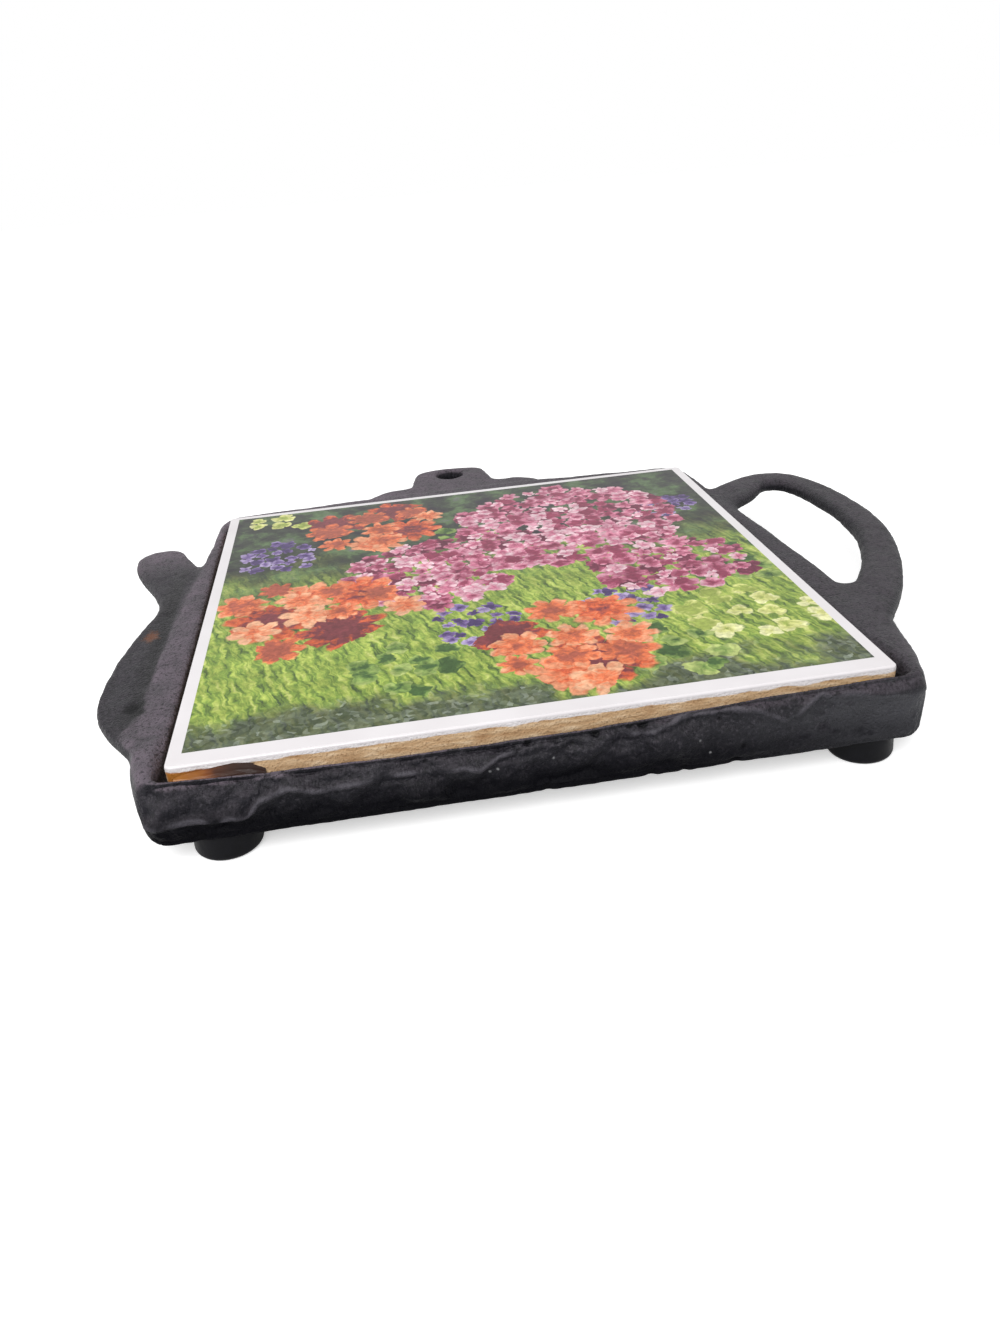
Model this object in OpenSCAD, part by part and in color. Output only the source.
// Teapot-shaped cast-iron trivet that carries a 6-inch picture tile

/* [Tile] */
// Side of the square tile
tile_size = 152; // [120:1:190]
// Thickness of the whole tile, glaze included
tile_t = 6; // [5:0.5:9]
// Plan radius of the tile's corners
tile_corner_r = 1.4; // [0.8:0.1:4]
// Thickness of the white glaze layer
glaze_t = 0.6; // [0.4:0.1:1.2]
// Roll of the glaze over the tile's top edges
glaze_roll = 0.5; // [0.2:0.1:0.6]
// Depth of the fired print in the glaze
print_t = 0.15; // [0.1:0.05:0.3]
// White border left of the print, and right of it
border_side = 3; // [1:0.5:10]
// White border in front of the print
border_front = 4.8; // [1:0.2:10]
// White border behind the print
border_back = 2.6; // [1:0.2:10]
// Height of the keying ribs under the tile
key_h = 0.7; // [0.3:0.1:1.2]
// Width of a keying rib
key_w = 6; // [3:0.5:10]
// Distance from one keying rib to the next
key_pitch = 13; // [11:0.5:20]
// Plain band round the keying ribs
key_band = 9; // [5:0.5:14]

/* [Body of the casting] */
// Gap between the tile and the wall of its recess
tile_gap = 1.8; // [0.5:0.1:3]
// How far the tile stands above the rim
tile_proud = 3.1; // [1:0.1:4]
// Wall in front of the tile, and beside it at the corners
rim_wall = 3.3; // [2.5:0.1:6]
// Depth of the casting from the rim to its lower edge
rim_h = 12.9; // [10:0.1:18]
// How far the belly swells past the corners, as the pull on its curve
belly_swell = 11.9; // [4:0.1:16]
// Margin behind the tile's recess at the back corners
back_margin = 10.8; // [8:0.1:20]
// Arch of the back edge between its corners
back_arch = 4.2; // [0:0.1:6]
// Plan size of the front corners
front_corner = 6.2; // [4:0.1:12]
// How far the side stands out past the rim's half-width at the front corner
corner_out = 2.1; // [0:0.1:4]
// How far the side stands out past the rim's half-width at the back corner
neck_out = 0.5; // [0:0.1:2]
// Plan size of the back corners
back_corner = 7; // [5:0.1:12]
// Rounding of the rim's outer edge, measured inwards
shoulder_w = 2.4; // [1:0.1:2.8]
// Rounding of the rim's outer edge, measured downwards
shoulder_h = 6.5; // [1:0.1:7]
// Rounding of the casting's lower edge
skirt_edge_r = 1; // [0.4:0.1:1.6]
// Draft that draws the lower edge in
draft_in = 0.3; // [0:0.1:1]
// Wall of the hollow under the casting
skirt_wall = 4; // [3:0.1:6]
// Width of the ledge under the tile
ledge_w = 11; // [8:0.5:20]
// Thickness of the ledge
ledge_t = 4; // [2:0.1:5]
// Corner radius of the open window inside the ledge
window_r = 8; // [3:0.5:20]
// Corner radius of the tile's recess
recess_r = 1.6; // [0.5:0.1:4]
// Bevel round the mouth of the recess
lip_bevel = 0.7; // [0.3:0.1:1.2]

/* [Spout, handle and lid plates] */
// Thickness of the plates
plate_t = 4.2; // [3:0.1:6]
// Rounding of the plates' upper edges
plate_edge_r = 1.9; // [0.6:0.1:2]
// Rounding of the plates' lower edges
plate_under_r = 1.1; // [0.4:0.1:1.6]
// How far the spout reaches past the rim's corners
spout_reach = 23.5; // [15:0.1:32]
// Radius of the spout's lip
lip_r = 7.7; // [5:0.1:10]
// How far the spout's plate has dropped below the rim at its lip
spout_fall = 1.2; // [0:0.1:2.5]
// How far the handle reaches past the rim's corners
handle_reach = 39.1; // [30:0.1:55]
// Width of the handle's grip at its middle
grip_w = 9.8; // [6:0.1:12]
// How far the handle's plate lies below the rim
handle_drop = 0.3; // [0:0.1:1.5]
// Half of the lid's width
lid_half = 35; // [25:0.5:50]
// How far the lid stands out behind the back edge
lid_out = 7; // [4:0.1:14]
// How far the lid's plate lies below the rim
lid_drop = 0.7; // [0:0.1:1.5]
// Half of the knob's width at its base
knob_base_half = 15; // [12:0.1:20]
// Half of the knob's width at its top
knob_top_half = 13.2; // [11:0.1:18]
// Height of the knob above the lid
knob_h = 19.6; // [16:0.1:26]
// Diameter of the hanging hole
hang_d = 9.8; // [5:0.1:12]
// Distance from the knob's end to the centre of the hanging hole
hang_end = 9; // [8:0.1:11]

/* [Feet] */
// Height of the casting's lower edge above the table
foot_h = 6.2; // [4:0.1:10]
// Diameter of a rubber foot cap
foot_d = 14.4; // [12:0.1:17]
// Taper of a foot cap towards its top, on the radius
foot_taper = 0.3; // [0:0.1:0.8]
// Rounding of a foot cap's lower edge
foot_edge_r = 1.2; // [0.4:0.1:1.4]
// Rubber under the peg
foot_floor = 1.6; // [1:0.1:3]
// Distance from the front or back of the lower face to a foot's pad
foot_set = 0.3; // [0.1:0.1:6]
// Distance from the side of the lower face to a foot's pad
foot_side_set = 3.1; // [2:0.1:10]
// How far the feet sit towards the handle from the tile's middle
foot_shift = 1.8; // [-2:0.1:2]
// Diameter of a cast peg inside its cap
peg_d = 9; // [6:0.1:10]
// Clearance round a peg
peg_clear = 0.06; // [0.02:0.02:0.2]
// Iron of a pad left round its foot cap
pad_extra = 0.2; // [0.1:0.1:1]

/* [Adhesive] */
// Thickness of the adhesive between the ledge and the tile
glue_t = 0.5; // [0.2:0.1:1]
// Width of a bead of adhesive
glue_w = 6; // [3:0.5:8]
// Length of a bead of adhesive
glue_len = 112; // [60:1:120]
// Length of the adhesive squeezed out at the front left corner
spill_left_len = 18; // [6:0.5:40]
// Length of the adhesive squeezed out at the front right corner
spill_right_len = 9; // [4:0.5:30]
// How far the squeezed adhesive climbs the tile on the left
spill_left_rise = 1.9; // [0.5:0.1:2]
// How far the squeezed adhesive climbs the tile on the right
spill_right_rise = 0.8; // [0.3:0.1:1.5]

/* [Hidden] */
$fn = 96;

// Overrun of every cut
over = 1;
// Steps of a long curve, of a short one and of a rounded edge
long_steps = 16;
short_steps = 8;
edge_steps = 4;

// Levels above the table
rim_z = foot_h + rim_h;
tile_top_z = rim_z + tile_proud;
tile_z = tile_top_z - tile_t;
recess_z = tile_z - glue_t;
ledge_z = recess_z - ledge_t;

// Plan of the casting, with the tile's centre at zero
recess_half = tile_size / 2 + tile_gap;
window_half = recess_half - ledge_w;
rim_half = recess_half + rim_wall;
front_y = -rim_half;
back_y = recess_half + back_margin;
side_len = back_y - front_y;
// Line inside the side walls where the spout and the handle end
root_x = recess_half + rim_wall / 3;
front_corner_share = 0.62;
back_corner_share = 0.6;
back_rise_share = 1.6;
back_reach_share = 0.3;
back_dip_share = 0.12;

// Points of the curves beside the body, as shares of a reach past the rim and of the side's length
belly_shares = [[1, 0.213], [0.37, 0.507]];
spout_join_shares = [[0.068, 0.742], [0.677, 0.824]];
spout_neck_shares = [[1.003, 0.772], [0.668, 0.696], [0.506, 0.619]];
spout_valley_shares = [[0.506, 0.619], [0.413, 0.575], [0.498, 0.531], [0.562, 0.495]];
spout_belly_shares = [[0.562, 0.495], [0.685, 0.419], [0.745, 0.319], [0.694, 0.254]];
spout_root_shares = [[0.694, 0.254], [0.643, 0.198], [0.443, 0.166], [0.187, 0.11]];
spout_end_share = 0.089;
lip_from_angle = 5;
lip_to_angle = 195;
handle_root_shares = [[0.074, 0.06], [0.138, 0.1], [0.176, 0.142], [0.253, 0.207]];
handle_back_shares = [[0.253, 0.207], [0.586, 0.307], [1, 0.466], [1, 0.637]];
handle_turn_shares = [[1, 0.637], [1, 0.767], [0.931, 0.891], [0.56, 0.891]];
handle_arch_shares = [[0.56, 0.891], [0.317, 0.891], [0.202, 0.855], [0.049, 0.837]];
handle_end_share = 0.83;

// Point and points along a cubic curve, without its last point
function bez(p, t) =
    p[0] * pow(1 - t, 3) + p[1] * 3 * pow(1 - t, 2) * t + p[2] * 3 * (1 - t) * t * t + p[3] * pow(t, 3);
function curve(p, steps, from = 0, to = 1) =
    [for (i = [0:steps - 1]) bez(p, from + (to - from) * i / steps)];
// Points of an arc, its last point included
function arc(at, r, from, to, steps) =
    [for (i = [0:steps]) at + r * [cos(from + (to - from) * i / steps), sin(from + (to - from) * i / steps)]];
function unit(v) = v / norm(v);
// Direction of a cubic curve
function heading(p, t) =
    unit((p[1] - p[0]) * pow(1 - t, 2) + (p[2] - p[1]) * 2 * (1 - t) * t + (p[3] - p[2]) * t * t);
function mirrored(points) = [for (i = [len(points) - 1:-1:0]) [-points[i][0], points[i][1]]];
// Points beside the body: sign is -1 on the spout's side
function beside(sign, reach, shares) =
    [for (s = shares) [sign * (rim_half + reach * s[0]), front_y + side_len * s[1]]];
// Outward direction at point i of an anticlockwise outline
function outward(p, i) =
    let (
        n = len(p),
        a = unit(p[i] - p[(i + n - 1) % n]),
        b = unit(p[(i + 1) % n] - p[i]),
        t = unit(a + b)
    )
    [t[1], -t[0]] / max(0.5, t * b);
function inset(p, d) = [for (i = [0:len(p) - 1]) p[i] - d * outward(p, i)];
function at_height(p, z) = [for (q = p) [q[0], q[1], z]];
function square_outline(half_x, half_y, r, steps) = [
    for (k = [0:3])
        let (sx = (k == 0 || k == 3) ? 1 : -1, sy = k < 2 ? 1 : -1)
        each arc([sx * (half_x - r), sy * (half_y - r)], r, 90 * k, 90 * (k + 1), steps)
];

// Outline of the body: front corner, belly, back corner and back edge of the right half
corner_pull = front_corner * front_corner_share;
belly_foot = [rim_half + corner_out, front_y + front_corner];
belly_pulls = [
    for (s = belly_shares) [rim_half + belly_swell * s[0], front_y + side_len * s[1]]
];
belly_head = [rim_half + neck_out, back_y - back_corner * back_rise_share];
belly_points = [belly_foot, belly_pulls[0], belly_pulls[1], belly_head];
back_turn = [rim_half - back_corner, back_y];
right_half = concat(
    curve([
        [belly_foot[0] - front_corner, front_y],
        [belly_foot[0] - front_corner + corner_pull, front_y],
        belly_foot - corner_pull * unit(belly_pulls[0] - belly_foot),
        belly_foot
    ], short_steps),
    curve(belly_points, long_steps),
    curve([
        belly_head,
        belly_head + [0, back_corner * back_rise_share * back_corner_share],
        back_turn + [back_corner * back_corner_share, -back_arch * back_dip_share],
        back_turn
    ], short_steps),
    curve([
        back_turn,
        back_turn + [-back_turn[0] * back_reach_share, back_arch * back_reach_share],
        [back_turn[0] / 2, back_y + back_arch],
        [0, back_y + back_arch]
    ], short_steps)
);
body_outline = concat(right_half, [[0, back_y + back_arch]], mirrored(right_half));

// Outline of the spout's plate, from the notch over the lip and down to its root
spout_join = beside(-1, spout_reach, spout_join_shares);
lip = arc(spout_join[1], lip_r, lip_from_angle, lip_to_angle, long_steps);
spout_neck = beside(-1, spout_reach, spout_neck_shares);
spout_root = beside(-1, spout_reach, spout_root_shares);
spout_end_y = front_y + side_len * spout_end_share;
spout_outline = concat(
    [[-root_x, spout_join[0][1] - lip_r / 2], spout_join[0]],
    lip,
    [for (i = [1:long_steps - 1])
        bez([lip[long_steps], spout_neck[0], spout_neck[1], spout_neck[2]], i / long_steps)],
    curve(beside(-1, spout_reach, spout_valley_shares), short_steps),
    curve(beside(-1, spout_reach, spout_belly_shares), short_steps),
    curve(spout_root, short_steps),
    [spout_root[3], [-root_x, spout_end_y]]
);

// Outline of the handle's plate, and the finger hole that runs along it and along the belly
handle_back = beside(1, handle_reach, handle_back_shares);
handle_turn = beside(1, handle_reach, handle_turn_shares);
handle_arch = beside(1, handle_reach, handle_arch_shares);
handle_outline = concat(
    [[root_x, front_y + side_len * handle_root_shares[0][1]]],
    curve(beside(1, handle_reach, handle_root_shares), short_steps),
    curve(handle_back, long_steps),
    curve(handle_turn, long_steps),
    curve(handle_arch, short_steps),
    [handle_arch[3], [root_x, front_y + side_len * handle_end_share]]
);
hole_low_share = 0.3;
hole_arch_share = 0.5;
hole_wall_shares = [0.78, 0.45];
hole_end_share = 0.6;
grip_swell_share = 0.2;
// Stretches of the handle's outer edge that the hole follows: curve, steps, start and end
grip_runs = [
    [handle_back, long_steps, hole_low_share, 1],
    [handle_turn, long_steps, 0, 1],
    [handle_arch, short_steps, 0, hole_arch_share]
];
grip_stations = [
    for (run = grip_runs, i = [0:run[1] - 1])
        let (t = run[2] + (run[3] - run[2]) * i / run[1])
        [bez(run[0], t), heading(run[0], t)]
];
grip_end = len(grip_stations) - 1;
grip_inner = [
    for (i = [0:grip_end])
        let (
            from_middle = abs(2 * i / grip_end - 1),
            w = grip_w * (1 + grip_swell_share * pow(from_middle, 4)),
            along = grip_stations[i][1]
        )
        grip_stations[i][0] + w * [-along[1], along[0]]
];
wall_line = [
    for (i = [0:short_steps])
        bez(belly_points, hole_wall_shares[0] + (hole_wall_shares[1] - hole_wall_shares[0]) * i / short_steps)
];
hole_top_pull = hole_end_share * norm(wall_line[0] - grip_inner[grip_end]);
hole_low_pull = hole_end_share * norm(wall_line[short_steps] - grip_inner[0]);
hole_outline = concat(
    grip_inner,
    [for (i = [1:short_steps - 1]) bez([
        grip_inner[grip_end],
        grip_inner[grip_end] + hole_top_pull * unit(grip_inner[grip_end] - grip_inner[grip_end - 1]),
        wall_line[0] - hole_top_pull * unit(wall_line[1] - wall_line[0]),
        wall_line[0]
    ], i / short_steps)],
    wall_line,
    [for (i = [1:short_steps - 1]) bez([
        wall_line[short_steps],
        wall_line[short_steps] + hole_low_pull * unit(wall_line[short_steps] - wall_line[short_steps - 1]),
        grip_inner[0] - hole_low_pull * unit(grip_inner[1] - grip_inner[0]),
        grip_inner[0]
    ], i / short_steps)]
);
hole_middle = [
    (wall_line[short_steps / 2][0] + grip_inner[long_steps][0]) / 2,
    grip_inner[long_steps][1] - 2 * grip_w
];

// Outline of the lid's plate with its knob
lid_y = back_y + back_arch + lid_out;
knob_y = lid_y + knob_h;
lid_shares = [0.87, 0.78, 0.6];
knob_turn_share = 0.1;
knob_fillet = 4;
knob_corner = 6;
knob_arch = 1;
lid_right = concat(
    [[lid_half, back_y - shoulder_w]],
    curve([
        [lid_half, back_y],
        [lid_half * lid_shares[0], back_y + back_arch],
        [lid_half * lid_shares[1], lid_y],
        [lid_half * lid_shares[2], lid_y]
    ], short_steps),
    curve([
        [lid_half * lid_shares[2], lid_y],
        [(lid_half * lid_shares[2] + knob_base_half) / 2, lid_y],
        [knob_base_half, lid_y],
        [knob_base_half, lid_y + knob_fillet]
    ], short_steps),
    curve([
        [knob_top_half, knob_y - knob_corner],
        [knob_top_half - knob_corner * knob_turn_share, knob_y - knob_arch],
        [knob_top_half - knob_corner, knob_y - knob_arch / 2],
        [0, knob_y]
    ], short_steps),
    [[0, knob_y]]
);
lid_outline = concat(lid_right, [for (i = [len(lid_right) - 2:-1:0]) [-lid_right[i][0], lid_right[i][1]]]);
hang_at = [0, knob_y - hang_end];

// Middle of the whole outline, which the part is centred on
left_x = min([for (p = spout_outline) p[0]]);
right_x = max([for (p = handle_outline) p[0]]);
mid_x = (left_x + right_x) / 2;
mid_y = (front_y + knob_y) / 2;

// Centres of the feet
foot_in = draft_in + skirt_edge_r + pad_extra + foot_d / 2;
foot_x = rim_half - foot_side_set - foot_in;
foot_front_y = front_y + foot_set + foot_in;
foot_back_y = back_y - foot_set - foot_in;
peg_h = foot_h - foot_floor;

module placed() {
    translate([-mid_x, -mid_y, 0]) children();
}

// Closed skin over a stack of rings that have equal counts, with a fan at each end
module skin(rings, low_point, high_point) {
    n = len(rings[0]);
    m = len(rings);
    points = concat([for (r = rings) each r], [low_point, high_point]);
    sides = [
        for (j = [0:m - 2], i = [0:n - 1])
            let (a = j * n + i, b = j * n + (i + 1) % n)
            each [[a, a + n, b + n], [a, b + n, b]]
    ];
    low = [for (i = [0:n - 1]) [m * n, i, (i + 1) % n]];
    high = [for (i = [0:n - 1]) [m * n + 1, (m - 1) * n + (i + 1) % n, (m - 1) * n + i]];
    polyhedron(points = points, faces = concat(sides, low, high), convexity = 8);
}

// Plate over an outline, with rounded edges above and below
module plate(outline, middle, low_z, high_z, edge_r, under_r) {
    rings = concat(
        [for (k = [0:edge_steps / 2])
            let (a = 90 * k / (edge_steps / 2))
            at_height(inset(outline, under_r * (1 - sin(a))), low_z + under_r * (1 - cos(a)))],
        [for (k = [0:edge_steps])
            let (a = 90 * k / edge_steps)
            at_height(inset(outline, edge_r * (1 - cos(a))), high_z - edge_r * (1 - sin(a)))]
    );
    intersection() {
        skin(rings, [middle[0], middle[1], low_z - over], [middle[0], middle[1], high_z + over]);
        translate([middle[0], middle[1], (low_z + high_z) / 2])
            cube([4 * side_len, 4 * side_len, high_z - low_z], center = true);
    }
}

// Opposite of a plate: a hole whose mouths flare into rounded edges
module flared_hole(outline, middle, low_z, high_z, edge_r, under_r) {
    rings = concat(
        [at_height(inset(outline, -under_r), low_z - over)],
        [for (k = [0:edge_steps / 2])
            let (a = 90 * k / (edge_steps / 2))
            at_height(inset(outline, -under_r * (1 - sin(a))), low_z + under_r * (1 - cos(a)))],
        [for (k = [0:edge_steps])
            let (a = 90 * k / edge_steps)
            at_height(inset(outline, -edge_r * (1 - cos(a))), high_z - edge_r * (1 - sin(a)))],
        [at_height(inset(outline, -edge_r), high_z + over)]
    );
    skin(rings, [middle[0], middle[1], low_z - over], [middle[0], middle[1], high_z + over]);
}

module rounded_square(half_x, half_y, r) {
    square([2 * (half_x - r), 2 * half_y], center = true);
    square([2 * half_x, 2 * (half_y - r)], center = true);
    for (sx = [-1, 1], sy = [-1, 1]) translate([sx * (half_x - r), sy * (half_y - r)]) circle(r);
}

module body_block() {
    rings = concat(
        [for (k = [0:edge_steps / 2])
            let (a = 90 * k / (edge_steps / 2))
            at_height(
                inset(body_outline, draft_in + skirt_edge_r * (1 - sin(a))),
                foot_h + skirt_edge_r * (1 - cos(a))
            )],
        [for (k = [0:edge_steps + 1])
            let (a = 90 * k / (edge_steps + 1))
            at_height(inset(body_outline, shoulder_w * (1 - cos(a))), rim_z - shoulder_h * (1 - sin(a)))]
    );
    skin(rings, [0, 0, foot_h], [0, 0, rim_z]);
}

module spout_plate() {
    middle = (spout_neck[2] + spout_join[0]) / 2;
    tilt = atan(spout_fall / (lip[0][1] - spout_end_y));
    translate([0, spout_end_y, rim_z])
        rotate([-tilt, 0, 0])
        translate([0, -spout_end_y, -rim_z])
        plate(spout_outline, middle, rim_z - plate_t, rim_z, plate_edge_r, plate_under_r);
}

module handle_plate() {
    high_z = rim_z - handle_drop;
    difference() {
        plate(handle_outline, hole_middle, high_z - plate_t, high_z, plate_edge_r, plate_under_r);
        flared_hole(hole_outline, hole_middle, high_z - plate_t, high_z, plate_edge_r, plate_under_r);
    }
}

module lid_plate() {
    high_z = rim_z - lid_drop;
    difference() {
        plate(lid_outline, [0, lid_y - knob_fillet], high_z - plate_t, high_z, plate_edge_r, plate_under_r);
        translate([hang_at[0], hang_at[1], high_z - plate_t - over])
            cylinder(h = plate_t + 2 * over, d = hang_d);
    }
}

module tile_recess() {
    mouth = square_outline(recess_half, recess_half, recess_r, short_steps / 2);
    skin(
        [
            at_height(mouth, recess_z),
            at_height(mouth, rim_z - lip_bevel),
            at_height(inset(mouth, -lip_bevel), rim_z),
            at_height(inset(mouth, -lip_bevel), rim_z + over)
        ],
        [0, 0, recess_z],
        [0, 0, rim_z + over]
    );
    translate([0, 0, ledge_z - over])
        linear_extrude(recess_z - ledge_z + 2 * over) rounded_square(window_half, window_half, window_r);
}

module at_feet() {
    for (x = [foot_shift - foot_x, foot_shift + foot_x], y = [foot_front_y, foot_back_y])
        translate([x, y, 0]) children();
}

// The one iron casting, with the pads and pegs of the feet
module frame() {
    color([0.20, 0.19, 0.21]) placed() {
        difference() {
            union() {
                difference() {
                    body_block();
                    translate([0, 0, foot_h - over])
                        linear_extrude(ledge_z - foot_h + over) polygon(inset(body_outline, skirt_wall));
                }
                spout_plate();
                handle_plate();
                lid_plate();
            }
            tile_recess();
        }
        at_feet() {
            translate([0, 0, foot_h]) cylinder(h = ledge_z - foot_h, d = foot_d + 2 * pad_extra);
            translate([0, 0, foot_h - peg_h]) cylinder(h = peg_h, d = peg_d);
        }
    }
}

// Rubber cap that slides over a peg and carries the casting
module foot_cap() {
    r = foot_d / 2;
    difference() {
        rotate_extrude()
            difference() {
                union() {
                    polygon([
                        [0, 0],
                        [r - foot_edge_r, 0],
                        [r - foot_edge_r, foot_edge_r],
                        [r, foot_edge_r],
                        [r - foot_taper, foot_h],
                        [0, foot_h]
                    ]);
                    intersection() {
                        translate([r - foot_edge_r, foot_edge_r]) circle(foot_edge_r);
                        square([foot_d, foot_h]);
                    }
                }
                translate([-foot_d, 0]) square([foot_d, foot_h]);
            }
        translate([0, 0, foot_floor]) cylinder(h = foot_h, r = peg_d / 2 + peg_clear);
    }
}

module foot_cap_at(sx, y) {
    color([0.09, 0.09, 0.10]) placed() translate([foot_shift + sx * foot_x, y, 0]) foot_cap();
}

module foot_cap_front_left() {
    foot_cap_at(-1, foot_front_y);
}

module foot_cap_front_right() {
    foot_cap_at(1, foot_front_y);
}

module foot_cap_back_left() {
    foot_cap_at(-1, foot_back_y);
}

module foot_cap_back_right() {
    foot_cap_at(1, foot_back_y);
}

// Fired clay of the tile, with keying ribs underneath
module tile_body() {
    groove_w = key_pitch - key_w;
    groove_len = tile_size - 2 * key_band;
    count = floor((groove_len + key_w) / key_pitch);
    first = -(count - 1) / 2 * key_pitch;
    color([0.80, 0.66, 0.47]) placed() difference() {
        translate([0, 0, tile_z])
            linear_extrude(tile_t - glaze_t) rounded_square(tile_size / 2, tile_size / 2, tile_corner_r);
        for (i = [0:count - 1])
            translate([-groove_len / 2, first + i * key_pitch - groove_w / 2, tile_z - over])
                cube([groove_len, groove_w, key_h + over]);
    }
}

// Glaze over the clay, rolled over at its edges, with the bed of the print
module tile_glaze() {
    half = tile_size / 2;
    edge = square_outline(half, half, tile_corner_r, short_steps / 2);
    rings = concat(
        [at_height(edge, tile_top_z - glaze_t)],
        [for (k = [0:edge_steps])
            let (a = 90 * k / edge_steps)
            at_height(inset(edge, glaze_roll * (1 - cos(a))), tile_top_z - glaze_roll * (1 - sin(a)))]
    );
    color([0.94, 0.93, 0.92]) placed() difference() {
        skin(rings, [0, 0, tile_top_z - glaze_t], [0, 0, tile_top_z]);
        translate([0, 0, tile_top_z - print_t]) linear_extrude(print_t + over) print_area();
    }
}

module print_area() {
    w = tile_size - 2 * border_side;
    d = tile_size - border_front - border_back;
    translate([-w / 2, border_front - tile_size / 2]) square([w, d]);
}

module tile_print() {
    color([0.62, 0.36, 0.42]) placed()
        translate([0, 0, tile_top_z - print_t]) linear_extrude(print_t) print_area();
}

// Bead of adhesive that lies on the ledge under the tile
module glue_bead(turn) {
    reach = (tile_size / 2 + window_half) / 2;
    color([0.78, 0.62, 0.30]) placed()
        rotate([0, 0, turn]) translate([0, -reach, recess_z]) linear_extrude(glue_t) {
            square([glue_len - glue_w, glue_w], center = true);
            for (s = [-1, 1]) translate([s * (glue_len - glue_w) / 2, 0]) circle(d = glue_w);
        }
}

module glue_bead_front() {
    glue_bead(0);
}

module glue_bead_right() {
    glue_bead(90);
}

module glue_bead_back() {
    glue_bead(180);
}

module glue_bead_left() {
    glue_bead(270);
}

// Adhesive that fills the gap in front of the tile and climbs its face, thinning to both ends
module glue_spill(sign, spill_len, rise) {
    swell_shares = [0.35, 0.75, 0.85, 1, 1.1, 0.95, 0.25];
    dip_share = 0.2;
    last = len(swell_shares) - 1;
    face_y = -tile_size / 2;
    wall_y = -recess_half;
    start_x = tile_size / 2 - tile_corner_r;
    rings = [
        for (k = [0:last])
            let (
                x = sign * (start_x - spill_len * k / last),
                top = rim_z - lip_bevel + (rise + lip_bevel) * swell_shares[k],
                low = rim_z - lip_bevel - tile_gap * dip_share,
                section = concat(
                    [[x, face_y, recess_z], [x, face_y, top]],
                    [for (i = [1:edge_steps])
                        let (s = i / edge_steps)
                        [x, face_y + (wall_y - face_y) * s, top + (low - top) * (1 - pow(1 - s, 2))]],
                    [[x, wall_y, recess_z]]
                )
            )
            [for (i = [0:len(section) - 1]) section[sign < 0 ? i : len(section) - 1 - i]]
    ];
    ends = [for (k = [0, last]) [sign * (start_x - spill_len * k / last), (face_y + wall_y) / 2, recess_z + glue_t]];
    color([0.62, 0.34, 0.08]) placed() skin(rings, ends[0], ends[1]);
}

module glue_spill_left() {
    glue_spill(-1, spill_left_len, spill_left_rise);
}

module glue_spill_right() {
    glue_spill(1, spill_right_len, spill_right_rise);
}

frame();
foot_cap_front_left();
foot_cap_front_right();
foot_cap_back_left();
foot_cap_back_right();
tile_body();
tile_glaze();
tile_print();
glue_bead_front();
glue_bead_back();
glue_bead_left();
glue_bead_right();
glue_spill_left();
glue_spill_right();
